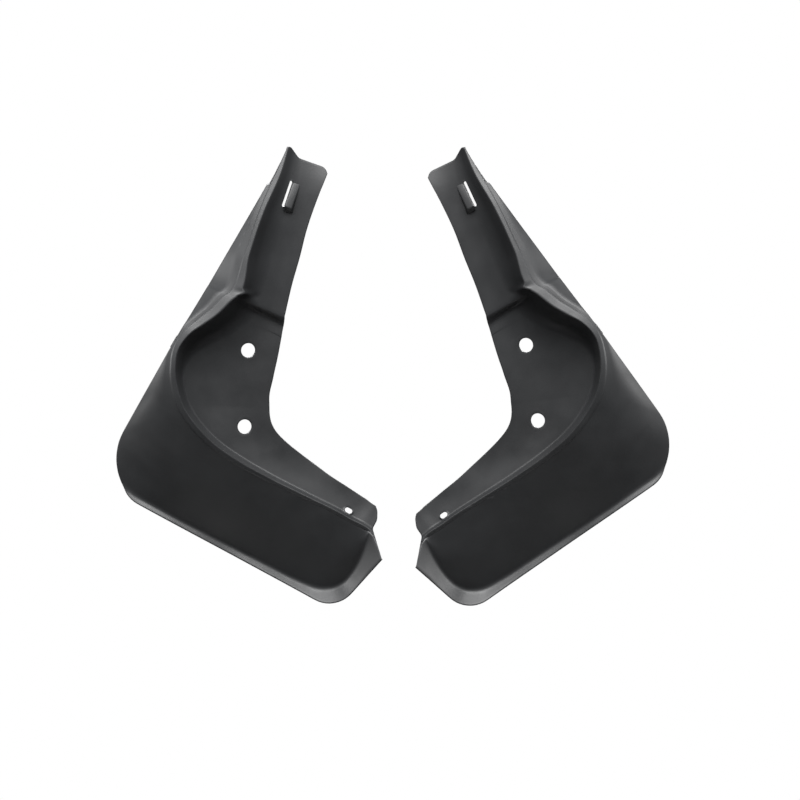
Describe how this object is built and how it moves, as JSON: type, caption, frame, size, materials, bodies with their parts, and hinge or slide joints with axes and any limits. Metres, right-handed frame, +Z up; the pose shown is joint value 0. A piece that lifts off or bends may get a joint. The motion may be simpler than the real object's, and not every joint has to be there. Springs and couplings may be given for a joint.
{
  "type": "mud flap",
  "caption": "Handed pair of moulded wheel-arch mud flaps, each with a ribbed mounting flange, fixing holes and a deep outer panel with a turned lip.",
  "frame": {"origin": "middle of the pair's box, at its lowest point", "axes": "+X across the pair from the left flap to the right one, +Z up, and the show side, with the fixing flanges, faces -Y"},
  "size_m": [0.389, 0.067, 0.3216],
  "materials": {
    "moulding": "satin, fine moulded grain"
  },
  "bodies": {
    "left_flap": {"left_flap": "moulding"},
    "right_flap": {"right_flap": "moulding"}
  },
  "joints": [
    {"name": "part_pair", "type": "slide", "parent": "left_flap", "child": "right_flap", "axis": [1, 0, 0], "range_m": [0, 0.1]}
  ]
}
